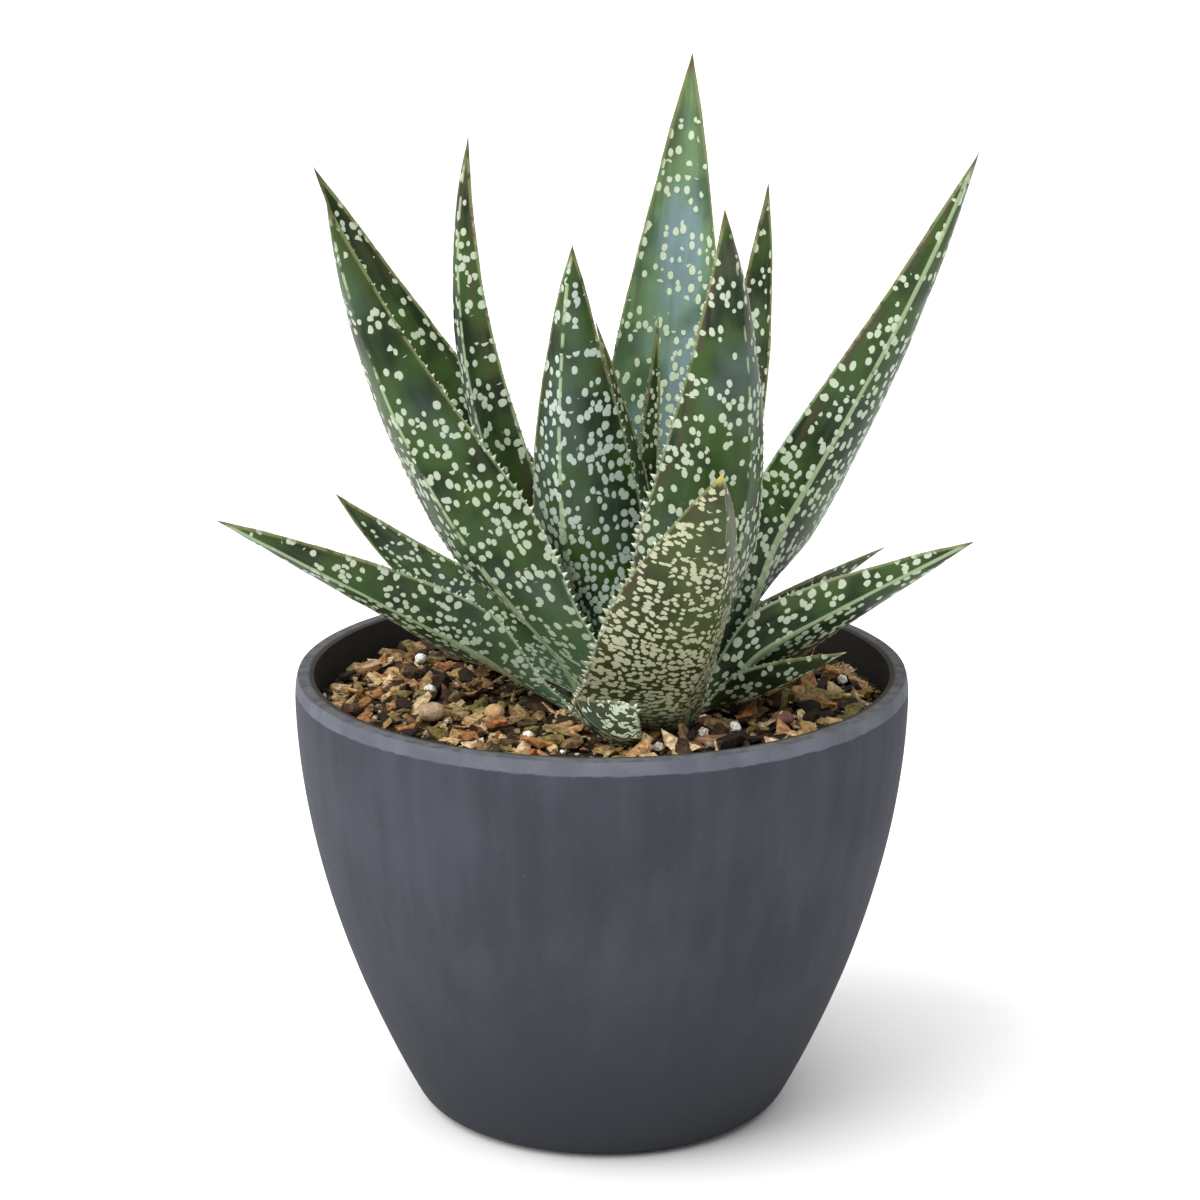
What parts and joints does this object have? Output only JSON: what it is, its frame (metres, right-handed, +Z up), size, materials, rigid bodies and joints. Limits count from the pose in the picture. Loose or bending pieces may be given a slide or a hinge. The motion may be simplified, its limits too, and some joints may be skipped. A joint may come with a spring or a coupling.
{
  "type": "potted gasteria hybrid",
  "caption": "Potted succulent: a rosette of keeled, spotted, tooth-edged leaves on a short stem, rooted in gritty mix in a round, bowed, matte cement pot.",
  "frame": {"origin": "centre of the pot's underside, on the plane it stands on", "axes": "+Z up along the pot's axis, -Y towards the front of the plant, +X to its right"},
  "size_m": [0.1548, 0.13, 0.2211],
  "materials": {
    "pot": "matte dark slate-blue cement, faintly streaked, paler worn chamfer at the rim",
    "potting_mix": "rough bark and grit mix, dark brown, damp-looking between the chips",
    "stem": "pale green flesh, satin",
    "roots": "dull tan, fleshy",
    "leaf_green": "smooth succulent skin with a low waxy sheen, dark green with whitish round spots, pale toothed margins and keel",
    "leaf_yellow_green": "smooth succulent skin, olive green with dense cream dashes and white marginal teeth",
    "pebble": "rough tan pebble",
    "bark": "rough orange-brown bark",
    "perlite": "chalky off-white perlite"
  },
  "bodies": {
    "root": {"bark_chip_back": "bark", "bark_chip_behind": "bark", "bark_chip_dark": "bark", "bark_chip_left": "bark", "bark_chip_low": "bark", "bark_chip_orange": "bark", "bark_chip_oval": "bark", "bark_chip_right": "bark", "bark_strip_front": "bark", "bark_strip_left": "bark", "leaf_back_tallest": "leaf_green", "leaf_front_short": "leaf_yellow_green", "leaf_front_stub": "leaf_green", "leaf_inner_slip": "leaf_green", "leaf_left_back_tall": "leaf_green", "leaf_left_front_tall": "leaf_green", "leaf_left_low": "leaf_green", "leaf_left_low_back": "leaf_green", "leaf_left_narrow": "leaf_green", "leaf_middle_front": "leaf_green", "leaf_middle_young": "leaf_green", "leaf_right_back_narrow": "leaf_green", "leaf_right_dry": "leaf_green", "leaf_right_front_tall": "leaf_green", "leaf_right_long": "leaf_green", "leaf_right_low": "leaf_green", "leaf_right_low_back": "leaf_green", "pebble_grey": "pebble", "pebble_tan": "pebble", "pebble_warm": "pebble", "perlite_edge": "perlite", "perlite_far_left": "perlite", "perlite_front": "perlite", "perlite_left": "perlite", "perlite_right": "perlite", "pot": "pot", "potting_mix": "potting_mix", "root_1": "roots", "root_2": "roots", "root_3": "roots", "root_4": "roots", "root_5": "roots", "root_6": "roots", "stem": "stem"}
  },
  "joints": []
}
